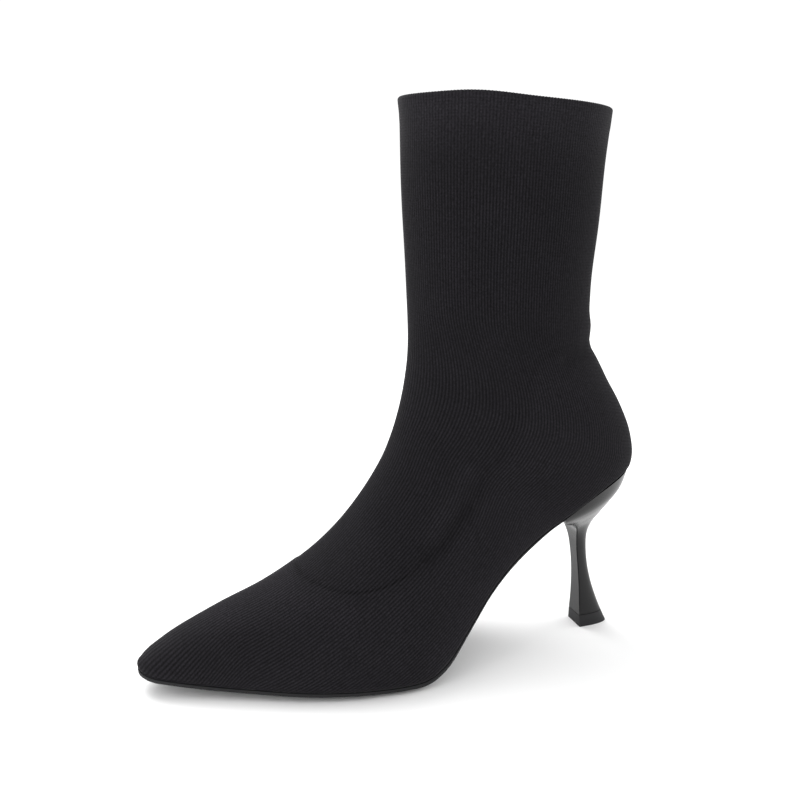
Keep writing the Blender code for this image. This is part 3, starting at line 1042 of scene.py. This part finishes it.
@dataclass
class Sock:
    """The rib-knit sock, from the feather edge over a rolled rim to the hem inside the collar."""

    last: Last
    finish: RibKnit
    tones: KnitTonesAndPaintedLight = KnitTonesAndPaintedLight()
    ribs: int = 188
    columns_per_rib: int = 3
    floor_columns: int = 6  # across the foot, between the insole and the outsole, where the sock is closed
    row_spacing: float = 2.2 * MM
    above_sole: float = 0.05 * MM
    relief: float = 0.15 * MM
    foot_pitch: float = 1.4 * MM  # from rib to rib on the foot
    toe_fan: float = 0.7  # how much wider the ribs stand apart at the toe's tip
    toe_fan_span: Span = Span(-224.0, -180.0)
    spread_from: float = 7.0  # section where the ribs begin to share out the ring
    spread_to: float = 9.5
    pole_reach: float = 2.0 * MM  # how far from the end of a ring the ribs begin, on the toe
    pole_sections: float = 2.0
    tuck: float = 0.5 * MM  # how far the knit is drawn in where it meets the sole
    tuck_height: float = 2.0 * MM
    backing_step: float = 0.40 * MM
    backing_edge: Span = Span(-0.2, 0.8)
    seam_depth: float = 0.16 * MM
    seam_width: float = 0.45 * MM
    seam_outside: float = 0.2 * MM  # how far outside the backing's edge the seam lies
    seam_end: Span = Span(-112.0, -98.0)
    wave_height: float = 0.05 * MM
    wave_calm: Span = Span(4.0, 20.0)  # no waves close to the sole or the rim
    rim_radius: float = 0.95 * MM
    rim_steps: int = 8
    swell: float = 1.25 * MM  # how far the rim rises in the middle of its outer side
    swell_x: float = -79 * MM
    swell_reach: float = 17 * MM
    swell_side: Span = Span(0.0, 28.0)
    swell_depth: Span = Span(0.0, 30.0)
    flare: float = 0.6 * MM  # how far the rim's front leans out
    flare_depth: Span = Span(0.5, 8.0)
    flare_span: Span = Span(-100.0, -88.0)
    hem_depth: float = 9.5 * MM
    hem_step: float = 0.12 * MM  # how far the doubled knit stands out above the hem's stitching
    hem_edge: float = 0.4 * MM
    hem_stitch: float = 0.10 * MM
    hem_stitch_width: float = 0.6 * MM
    # In millimetres, how deep the hem's rows lie, and how far the last of them dive behind the lining
    hem_rows: tuple[float, ...] = (1.5, 3.0, 4.5, 6.0, 7.5, 9.0, 10.5, 11.0, 11.4, 11.5)
    hem_sink: tuple[float, ...] = (0.0, 0.25, 0.8)
    course_pitch: float = 1.15 * MM
    course_columns: int = 120  # on both sides of the ridge, over which the courses are measured
    smooth_angle: float = 65.0

    def wale_numbers(self) -> np.ndarray:
        """Number the columns across the ridge, 0 on it, the outer side's positive."""
        half = self.ribs * self.columns_per_rib // 2
        return np.arange(-half, half + 1)

    def wale_arcs(self, numbers: np.ndarray, surface: Surface, ends: np.ndarray) -> np.ndarray:
        """Place the columns on each ring.

        Args:
            numbers: The rings' numbers.
            surface: The rings.
            ends: Where the rings end on the inner and the outer side.

        Returns:
            The lengths from the ridge, one row for each ring. Columns past the end stay at the end.
        """
        wales = self.wale_numbers() / self.columns_per_rib
        share = step_up(numbers, self.spread_from, self.spread_to)
        ridge_x = surface.points[:, surface.points.shape[1] // 2, 0]
        foot_pitch = self.foot_pitch * (1 + self.toe_fan * (1 - self.toe_fan_span.rise(ridge_x)))
        pitches = [
            (1 - share) * foot_pitch + share * full / (self.ribs / 2)
            for full in (-surface.arcs[:, 0], surface.arcs[:, -1])
        ]
        inner = np.maximum(wales * pitches[0][:, None], -ends[:, :1])
        outer = np.minimum(wales * pitches[1][:, None], ends[:, 1:])
        return np.where(wales < 0, inner, outer)

    def relief_on(self, numbers: np.ndarray, points: np.ndarray, room: np.ndarray) -> np.ndarray:
        """Give the height of the ribs, which die away at the feather edge and at the toe's tip."""
        wave = np.cos(math.tau * self.wale_numbers() / self.columns_per_rib)
        above = points[..., 2] - feather_height(points[..., 0])
        fade = step_up(above, self.above_sole, self.tuck_height)
        nose = (numbers < self.pole_sections)[:, None]
        return self.relief * wave * fade * np.where(nose, step_up(room, 0.0, self.pole_reach), 1.0)

    def waves_on(self, points: np.ndarray) -> np.ndarray:
        """Give the soft unevenness of stretched cloth, from about -3 to 3."""
        x, y, z = np.moveaxis(points, -1, 0)
        return (
            np.sin(x / (9.1 * MM) + 1.7 * np.sin(z / (23 * MM)) + 0.8)
            + np.sin(z / (7.3 * MM) + 1.3 * np.sin(y / (13 * MM)) + x / (31 * MM))
            + np.sin(y / (8.3 * MM) + z / (17 * MM) + 2.1)
        )

    def lift_on(self, points: np.ndarray, below_rim: np.ndarray) -> np.ndarray:
        """Give how far the knit stands off the last: tucked edge, backing, creases, hem and waves."""
        x, z = points[..., 0], points[..., 2]
        above = z - feather_height(x)
        lift = -self.tuck * (1 - step_up(above, 0.0, self.tuck_height))
        lift += self.backing_step * self.backing_edge.rise(depth_inside(x, z, BACKING))
        lift -= self.seam_depth * self.seam_on(points)
        for crease in CREASES:
            lift += crease.height * MM * bell(distance_to(x, z, crease.line), crease.width * MM)
        low, high = -self.hem_depth - self.hem_edge, -self.hem_depth + self.hem_edge
        lift += self.hem_step * step_up(-below_rim, low, high)
        lift -= self.hem_stitch * bell(below_rim - self.hem_depth, self.hem_stitch_width)
        lift += self.flare * (1 - self.flare_depth.rise(below_rim)) * (1 - self.flare_span.rise(x))
        calm = self.wave_calm.rise(above) * self.wave_calm.rise(below_rim)
        return lift + self.wave_height * calm * self.waves_on(points)

    def seam_on(self, points: np.ndarray) -> np.ndarray:
        """Give how much points lie in the seam along the backing's edge, from 0 to 1."""
        x, z = points[..., 0], points[..., 2]
        outside = depth_inside(x, z, BACKING) + self.seam_outside
        return bell(outside, self.seam_width) * (1 - self.seam_end.rise(x))

    def with_floor(self, grid: np.ndarray) -> np.ndarray:
        """Add columns that run from the outer end of each ring under the foot to its inner end.

        Args:
            grid: Values of the rings' points, as an array of rings by columns and maybe one more axis.

        Returns:
            The same array with the floor's columns, the last of which lies on the first one of all.
        """
        share = np.arange(1, self.floor_columns + 2) / (self.floor_columns + 1)
        weight = share.reshape(1, -1, *(1,) * (grid.ndim - 2))
        return np.concatenate([grid, grid[:, -1:] + (grid[:, :1] - grid[:, -1:]) * weight], axis=1)

    def rolled(self, points: np.ndarray, normals: np.ndarray, up: np.ndarray, lift: np.ndarray,
               relief: np.ndarray, turn: np.ndarray, below_rim: np.ndarray) -> np.ndarray:
        """Set the knit off the last, and roll it over the rim into the collar.

        Args:
            points: Places on the last.
            normals: The way out from the last there.
            up: The way along the ribs towards the rim.
            lift: How far the knit stands off the last.
            relief: The height of the ribs.
            turn: How far each row has turned over the rim, up to half a turn.
            below_rim: How far below the collar each place lies.

        Returns:
            The knit's places.
        """
        sink = np.zeros((len(points), 1))
        sink[-len(self.hem_sink):, 0] = np.array(self.hem_sink) * MM
        radius = self.rim_radius + relief
        out = lift - self.rim_radius + radius * np.cos(turn) + sink
        points = points + normals * out[..., None] + up * (radius * np.sin(turn))[..., None]
        rise = bell(points[..., 0] - self.swell_x, self.swell_reach) * self.swell_side.rise(-points[..., 1])
        points[..., 2] += self.swell * rise * (1 - self.swell_depth.rise(below_rim))
        return points

    def cloth_uv(self, points: np.ndarray) -> np.ndarray:
        """Count the ribs across and the courses along."""
        ridge = points.shape[1] // 2
        middle = points[:, ridge - self.course_columns : ridge + self.course_columns]
        steps = np.linalg.norm(np.diff(middle, axis=0), axis=-1).mean(axis=1)
        courses = np.append(0.0, np.cumsum(steps)) / self.course_pitch
        ribs = self.wale_numbers() / self.columns_per_rib
        return np.stack(np.broadcast_arrays(ribs[None], courses[:, None]), axis=-1)

    def build(self) -> bpy.types.Object:
        """Make the sock: rings up the outside, over the rim and down the hem."""
        last = self.last
        rows = last.row_numbers(self.row_spacing, self.above_sole, feather_height)
        row_length = last.top_row_length
        rim_start = last.collar - (self.rim_radius + self.relief) / row_length
        outside = np.append(rows[rows < rim_start - 0.02], rim_start)
        turns = np.linspace(0, math.pi, self.rim_steps + 1)[1:]
        inside = np.array(self.hem_rows) * MM
        numbers = np.concatenate([outside, np.full(len(turns), rim_start), rim_start - inside / row_length])
        turn = np.concatenate([np.zeros(len(outside)), turns, np.full(len(inside), math.pi)])[:, None]

        surface = last.surface(numbers)
        ends = last.end_arcs(surface, self.above_sole, feather_height)
        arcs = self.wale_arcs(numbers, surface, ends)
        points, normals = last.pick(surface, arcs)
        lower = last.surface(numbers - last.probe)
        lower_ends = last.end_arcs(lower, self.above_sole, feather_height)
        up = points - last.pick(lower, self.wale_arcs(numbers - last.probe, lower, lower_ends))[0]
        up /= np.linalg.norm(up, axis=-1, keepdims=True) + 1e-12

        room = np.minimum(ends[:, 1:] - arcs, arcs + ends[:, :1])
        across = np.abs(arcs) / np.where(arcs < 0, ends[:, :1], ends[:, 1:])
        below_rim = np.broadcast_to(((last.collar - numbers) * row_length)[:, None], arcs.shape)
        carried = {
            # where the seam's painted shade lies
            "seam": self.seam_on(points) * (np.arange(len(numbers)) < len(outside))[:, None],
            # lightness, with painted light and shade over the rim, creases, forefoot, toe and waist
            "tone_with_painted_light": self.tones.lightness_with_painted_light(points, below_rim, across),
            "rib": self.tones.rib_strength(below_rim),
        }
        relief = self.relief_on(numbers, points, room) * carried["rib"]
        knit = self.rolled(points, normals, up, self.lift_on(points, below_rim), relief, turn, below_rim)
        thing = shaped_grid("sock", self.with_floor(knit), self.with_floor(self.cloth_uv(knit)),
                            {label: self.with_floor(values) for label, values in carried.items()})
        shade(thing, self.smooth_angle)
        finish_piece(thing, self.finish.material(), Node.UPPER)
        return thing


@dataclass
class Lining:
    """The stretch lining inside the sock, from under the hem down to the insole."""

    last: Last
    finish: TricotLining
    depth: float = 1.65 * MM  # how far inside the sock's face
    thickness: float = 0.35 * MM
    columns: int = 160
    row_spacing: float = 3.2 * MM
    above_seat: float = 1.0 * MM
    below_rim: float = 8.0 * MM
    grain_pitch: float = 0.9 * MM

    def build(self) -> bpy.types.Object:
        """Make the lining."""
        last = self.last
        rows = last.row_numbers(self.row_spacing, self.above_seat, feather_height)
        top = last.collar - self.below_rim / last.top_row_length
        numbers = np.append(rows[rows < top - 0.05], top)
        surface = last.surface(numbers)
        ends = last.end_arcs(surface, self.above_seat, feather_height)
        shares = np.linspace(-1, 1, self.columns + 1)
        arcs = np.where(shares < 0, shares * ends[:, :1], shares * ends[:, 1:])
        points, normals = last.pick(surface, arcs)
        points = points - normals * self.depth
        length = np.append(0.0, np.cumsum(np.linalg.norm(np.diff(points, axis=0), axis=-1).mean(axis=1)))
        uv = np.stack(np.broadcast_arrays(arcs, length[:, None]), axis=-1) / self.grain_pitch
        thing = shaped_grid("lining", points, uv)
        wall = thing.modifiers.new("Wall", "SOLIDIFY")
        wall.thickness = self.thickness
        wall.offset = 0.0
        make_active(thing)
        bpy.ops.object.modifier_apply(modifier=wall.name)
        shade(thing)
        finish_piece(thing, self.finish.material(), Node.UPPER)
        return thing


@dataclass
class Plate:
    """A sheet that lies along a line of the side view, with a shaped edge all round."""

    last: Last
    name: str
    edge: Sequence[EdgePoint]
    line: Callable[[np.ndarray], np.ndarray]
    grow: float  # how far its outline stands out from the last's
    top: float  # its top above the line
    thickness: float
    node: Node
    slot: Slot
    finish: InsoleCloth | SoleResin
    end_x: float | None = None
    stations: int = 300
    across: int = 32
    sharp: float = 40.0  # the least angle of an edge that stays sharp

    def outline(self) -> tuple[np.ndarray, np.ndarray, np.ndarray, np.ndarray]:
        """Give the inner and the outer side of the outline and, for each, the way out in plan."""
        inner, outer = self.last.outline(self.stations, self.line, self.end_x)
        loop = np.vstack([outer[::-1], inner[1:]])
        along = np.gradient(loop[:, :2], axis=0)
        if self.end_x is None:
            along[0] = along[-1] = loop[1, :2] - loop[-2, :2]
        outward = np.stack([-along[:, 1], along[:, 0]], axis=1)
        outward /= np.linalg.norm(outward, axis=1, keepdims=True)
        if (outward[0] * (0, 1)).sum() > 0:
            outward = -outward
        out_outer, out_inner = outward[: len(outer)][::-1].copy(), outward[len(outer) - 1 :].copy()
        out_outer[0] = out_inner[0] = (-1.0, 0.0)
        if self.end_x is None:
            out_outer[-1] = out_inner[-1] = (1.0, 0.0)
        else:
            for side, sign in ((out_outer, -1.0), (out_inner, 1.0)):
                side[-1] = (0.0, sign)
        return inner, outer, out_inner, out_outer

    def side_height(self, x: np.ndarray) -> np.ndarray:
        """Give the height of the side at places along the boot."""
        return np.full(x.shape, self.thickness)

    def under_height(self, x: np.ndarray, inward: np.ndarray, width: np.ndarray) -> np.ndarray:
        """Give the height of the underside.

        Args:
            x: Places along the boot.
            inward: How far each place lies from the edge; not used by this flat underside.
            width: How wide the plate is there; not used by this flat underside.

        Returns:
            The heights.
        """
        return self.line(x) + self.top - self.thickness

    def build(self) -> bpy.types.Object:
        """Make the plate: each station is a ring over its top, down its outer edge and back underneath."""
        inner, outer, out_inner, out_outer = self.outline()
        edge = np.array(self.edge)[None]
        rings = []
        for side, out in ((outer, out_outer), (inner, out_inner)):
            place = side[:, None, :2] + out[:, None] * (self.grow + edge[..., :1] * MM)
            height = self.line(place[..., 0]) + self.top - edge[..., 1] * self.side_height(side[:, :1])
            rings.append(np.concatenate([place, height[..., None]], axis=-1))
        outer_edge, inner_edge = rings
        share = (1 - np.cos(np.linspace(0, math.pi, self.across + 1)))[1:-1][None, :, None] / 2
        over = inner_edge[:, :1] + (outer_edge[:, :1] - inner_edge[:, :1]) * share
        over[..., 2] = self.line(over[..., 0]) + self.top
        under = outer_edge[:, -1:] + (inner_edge[:, -1:] - outer_edge[:, -1:]) * share
        width = np.linalg.norm(inner_edge[:, -1:, :2] - outer_edge[:, -1:, :2], axis=-1)
        inward = width * np.minimum(share, 1 - share)[..., 0]
        under[..., 2] = self.under_height(under[..., 0], inward, width)
        points = np.concatenate([over, outer_edge, under, inner_edge[:, ::-1], over[:, :1]], axis=1)
        thing = shaped_grid(self.name, points)
        if self.end_x is not None:
            bpy.ops.object.mode_set(mode="EDIT")
            bpy.ops.mesh.select_mode(type="EDGE")
            bpy.ops.mesh.select_all(action="DESELECT")
            bpy.ops.mesh.select_non_manifold(
                extend=False, use_wire=False, use_multi_face=False, use_non_contiguous=False, use_verts=False)
            bpy.ops.mesh.edge_face_add()
            bpy.ops.mesh.select_mode(type="VERT")
            bpy.ops.object.mode_set(mode="OBJECT")
        face_outwards(thing)
        shade(thing, self.sharp)
        finish_piece(thing, self.finish.material(), self.node)
        return thing


@dataclass
class Outsole(Plate):
    """The outsole: trimmed close at the waist, cupped round the forefoot and crowned underneath."""

    crown_reach: float = 9.0 * MM  # how far in from its edge it comes down to the tread
    crown_share: float = 0.42  # and the most of its width that this takes
    crown_width: Span = Span(1.0, 22.5)  # the narrow tip has no crown
    tread_below_seat: float = 3.0 * MM

    def side_height(self, x: np.ndarray) -> np.ndarray:
        """Give the height of the trimmed side at places along the boot."""
        trim = np.array(SOLE_TRIM)
        places = np.linspace(trim[0, 0], trim[-1, 0], 400)
        heights = np.interp(places, trim[:, 0], trim[:, 1])
        soft = np.convolve(np.pad(heights, 12, mode="edge"), np.full(25, 1 / 25), mode="valid")
        return np.interp(x / MM, places, soft) * MM

    def under_height(self, x: np.ndarray, inward: np.ndarray, width: np.ndarray) -> np.ndarray:
        """Give the height of the crowned underside.

        Args:
            x: Places along the boot.
            inward: How far each place lies from the edge.
            width: How wide the plate is there.

        Returns:
            The heights, the tread's in the middle and the foot of the side's at the edge.
        """
        foot = self.line(x) + self.top - self.side_height(x)
        tread = np.maximum(seat_height(x) - self.tread_below_seat, 0.0)
        reach = np.minimum(self.crown_reach, self.crown_share * np.maximum(width, 1e-6))
        share = np.clip(inward / reach, 0.0, 1.0)
        crown = (np.minimum(tread, foot) - foot) * self.crown_width.rise(width)
        return foot + crown * np.sin(share * math.pi / 2)


@dataclass
class HeelLoft:
    """A length of the heel, lofted through its table of sections."""

    name: str
    node: Node
    slot: Slot
    finish: HeelLacquer | LiftRubber
    low: float  # height of its lower end at the breast
    high: float | None  # height of its upper end at the breast, or None for the seat line
    edge_width: float = 0.3 * MM
    edge_angle: float = 42.0  # the least angle of an edge that is rounded off
    smooth_angle: float = 35.0
    cap_inset: float = 0.6  # how wide the caps' inner ring is
    groove: tuple[float, float] | None = None  # heights of the joint beside the breast's corners
    groove_inset: float = 0.5 * MM
    groove_width: float = 0.2 * MM
    groove_depth: float = 0.3 * MM
    groove_fade: float = 2.0 * MM
    around: int = 128
    across: int = 12
    rows: int = 110

    @staticmethod
    def point(numbers: np.ndarray, angles: np.ndarray, breast: np.ndarray) -> np.ndarray:
        """Give points of the heel.

        Args:
            numbers: Numbers in the table of sections.
            angles: Angles from the middle of the back, a quarter turn at the breast's corners.
            breast: Where the point lies on the flat breast, from -1 to 1, or not a number on the back.

        Returns:
            The points, with one more axis than the inputs.
        """
        shape = np.broadcast_shapes(numbers.shape, angles.shape)
        numbers = np.broadcast_to(numbers, shape).ravel()
        angles = np.broadcast_to(angles, shape).ravel()
        breast = np.broadcast_to(breast, shape).ravel()
        rows = HeelSection(*smooth(np.array(HEEL_SECTIONS), numbers).T)
        power = 2.0 / rows.back_power
        share = np.maximum(np.cos(angles), 0.0) ** power
        side = np.sign(np.sin(angles)) * np.abs(np.sin(angles)) ** power
        flat = ~np.isnan(breast)
        share = np.where(flat, 0.0, share)
        side = np.where(flat, breast, side)
        points = MM * np.stack([
            rows.breast_x + (rows.back_x - rows.breast_x) * share,
            rows.half_width * side,
            rows.breast_z + (rows.back_z - rows.breast_z) * share,
        ], axis=-1)
        return points.reshape(*shape, 3)

    def columns(self) -> tuple[np.ndarray, np.ndarray]:
        """Give each column's angle, and its place on the breast where it lies there."""
        back = (1 - np.cos(np.linspace(0, math.pi, self.around + 1))) * math.pi / 2 - math.pi / 2
        flat = np.linspace(1, -1, self.across + 1)[1:-1]
        angles = np.concatenate([back, np.zeros(len(flat)), back[:1]])
        breast = np.concatenate([np.full(len(back), np.nan), flat, [np.nan]])
        return angles, breast

    def crossing(self, angles: np.ndarray, breast: np.ndarray,
                 limit: Callable[[np.ndarray], np.ndarray]) -> np.ndarray:
        """Find the number at which each column reaches a height.

        Args:
            angles: The columns' angles.
            breast: The columns' places on the breast.
            limit: Gives the height for points of the heel.

        Returns:
            One number for each column.
        """
        numbers = np.linspace(0, len(HEEL_SECTIONS) - 1, 1200)
        points = self.point(numbers[:, None], angles[None], breast[None])
        over = points[..., 2] - limit(points)
        first = np.maximum(np.argmax(over >= 0, axis=0), 1)
        column = np.arange(len(angles))
        before, after = over[first - 1, column], over[first, column]
        return numbers[first - 1] + (numbers[1] - numbers[0]) * before / (before - after)

    def level(self, height: float) -> np.ndarray:
        """Find the number at which the breast's corner reaches a height."""
        corner, back = np.array([-math.pi / 2]), np.array([np.nan])
        return self.crossing(corner, back, lambda points: np.full(points.shape[:-1], height))

    def grooved(self, points: np.ndarray) -> np.ndarray:
        """Sink the joint between the heel's cover and its breast, beside both corners.

        Args:
            points: The heel's rings.

        Returns:
            The rings with the groove.
        """
        low, high = self.groove
        depth = self.groove_depth * step_up(points[..., 2], low, low + self.groove_fade)
        depth = depth * (1 - step_up(points[..., 2], high - self.groove_fade, high))
        back = np.arange(points.shape[1]) <= self.around
        for corner, side in ((0, 1.0), (self.around, -1.0)):
            away = np.linalg.norm(points - points[:, [corner]], axis=-1)
            beside = back * (side * points[..., 1] < 0)
            sunk = depth * bell(away - self.groove_inset, self.groove_width) * beside
            points = points + sunk[..., None] * np.array([0.0, side, 0.0])
        return points

    def build(self) -> bpy.types.Object:
        """Make the piece."""
        angles, breast = self.columns()
        start = self.level(self.low) if self.low > 0 else np.zeros(1)
        if self.high is None:
            end = self.crossing(angles, breast, lambda points: seat_height(points[..., 0]))
        else:
            end = self.level(self.high)
        share = np.linspace(0, 1, self.rows + 1)[:, None]
        points = self.point(start + (end - start) * share, angles[None], breast[None])
        if self.groove is not None:
            points = self.grooved(points)
        caps = []
        for ring in (points[0], points[-1]):
            inward = np.repeat(ring[None], 2, axis=0)
            inward[0, :, 1] *= self.cap_inset
            inward[1, :, 1] = 0.0
            caps.append(inward)
        points = np.concatenate([caps[0][::-1], points, caps[1]])
        thing = shaped_grid(self.name, points)
        bevel_sharp_edges(thing, self.edge_width, self.edge_angle)
        face_outwards(thing)
        shade(thing, self.smooth_angle)
        finish_piece(thing, self.finish.material(), self.node)
        return thing


class Light(NamedTuple):
    """A square soft light that points at the boot."""

    name: str
    place: tuple[float, float, float]
    size: float
    power: float


LIGHTS = (
    Light("left_light", (-1.3, -0.2, 0.8), 1.0, 5.0),
    Light("top_light", (-0.5, 0.6, 1.15), 0.9, 11.0),
    Light("right_light", (1.2, 0.1, 0.6), 0.9, 3.0),
)


@dataclass
class Studio:
    """The floor, the lights and the camera."""

    camera_place: tuple[float, float, float] = (-0.2211, -0.3755, 0.2173)
    camera_target: tuple[float, float, float] = (-0.102, 0.0, 0.1234)
    lens: float = 40.5
    light_target: tuple[float, float, float] = (-0.1, 0.0, 0.12)
    floor_size: float = 30.0
    floor_colour: Colour = (0.97, 0.97, 0.97, 1.0)
    world_strength: float = 1.08

    @staticmethod
    def aim(thing: bpy.types.Object, target: tuple[float, float, float]) -> None:
        """Turn an object's -Z axis to a target."""
        way = Vector(target) - thing.location
        thing.rotation_euler = way.to_track_quat("-Z", "Y").to_euler()

    def add_camera(self) -> None:
        """Stand the camera where the photograph was taken from."""
        bpy.ops.object.camera_add(location=self.camera_place)
        camera = bpy.context.active_object
        camera.name = "camera"
        camera.data.lens = self.lens
        camera.data.clip_start = 0.01
        self.aim(camera, self.camera_target)
        bpy.context.scene.camera = camera

    def add_light(self, wanted: Light) -> None:
        """Add a light and point it at the boot."""
        bpy.ops.object.light_add(type="AREA", location=wanted.place)
        light = bpy.context.active_object
        light.name = wanted.name
        light.data.size = wanted.size
        light.data.energy = wanted.power
        self.aim(light, self.light_target)

    def add_floor(self) -> None:
        """Lay a plain pale floor."""
        deselect_all()
        bpy.ops.mesh.primitive_plane_add(size=self.floor_size)
        floor = bpy.context.active_object
        floor.name = floor.data.name = "floor"
        recipe = Recipe("pale_floor")
        recipe.constant(base_color=self.floor_colour, roughness=0.9, specular_ior_level=0.0)
        floor.data.materials.append(recipe.material)

    def add_world(self) -> None:
        """Surround the boot with even white light."""
        world = bpy.data.worlds.new("white_studio")
        world.use_nodes = True
        background = world.node_tree.nodes["Background"]
        background.inputs["Color"].default_value = (1.0, 1.0, 1.0, 1.0)
        background.inputs["Strength"].default_value = self.world_strength
        bpy.context.scene.world = world

    def build(self) -> None:
        """Set up the whole studio."""
        self.add_world()
        self.add_floor()
        for light in LIGHTS:
            self.add_light(light)
        self.add_camera()
        view = bpy.context.scene.view_settings
        view.view_transform = "Standard"
        view.look = "None"
        LOG.info("studio ready")


def main() -> None:
    """Build the studio and every piece of the boot."""
    logging.basicConfig(level=logging.INFO, format="%(message)s")
    Studio().build()
    last = Last()
    Sock(last, RibKnit()).build()
    Lining(last, TricotLining()).build()
    Plate(last, "insole_board", INSOLE_EDGE, seat_height, grow=-1.9 * MM, top=2.3 * MM, thickness=2.0 * MM,
          node=Node.INSOLE, slot=Slot.LINING, finish=InsoleCloth(), across=16).build()
    Outsole(last, "outsole_plate", SOLE_EDGE, feather_height, grow=0.5 * MM, top=0.0, thickness=3.0 * MM,
            node=Node.OUTSOLE, slot=Slot.SOLE, finish=SoleResin(), end_x=-27.8 * MM).build()
    HeelLoft("stiletto_heel", Node.HEEL, Slot.HEEL, HeelLacquer(), low=6.3 * MM, high=None,
             groove=(7.0 * MM, 57.0 * MM)).build()
    HeelLoft("lift", Node.TOP_PIECE, Slot.LIFT, LiftRubber(), low=0.0, high=6.0 * MM, rows=12).build()


if __name__ == "__main__":
    main()
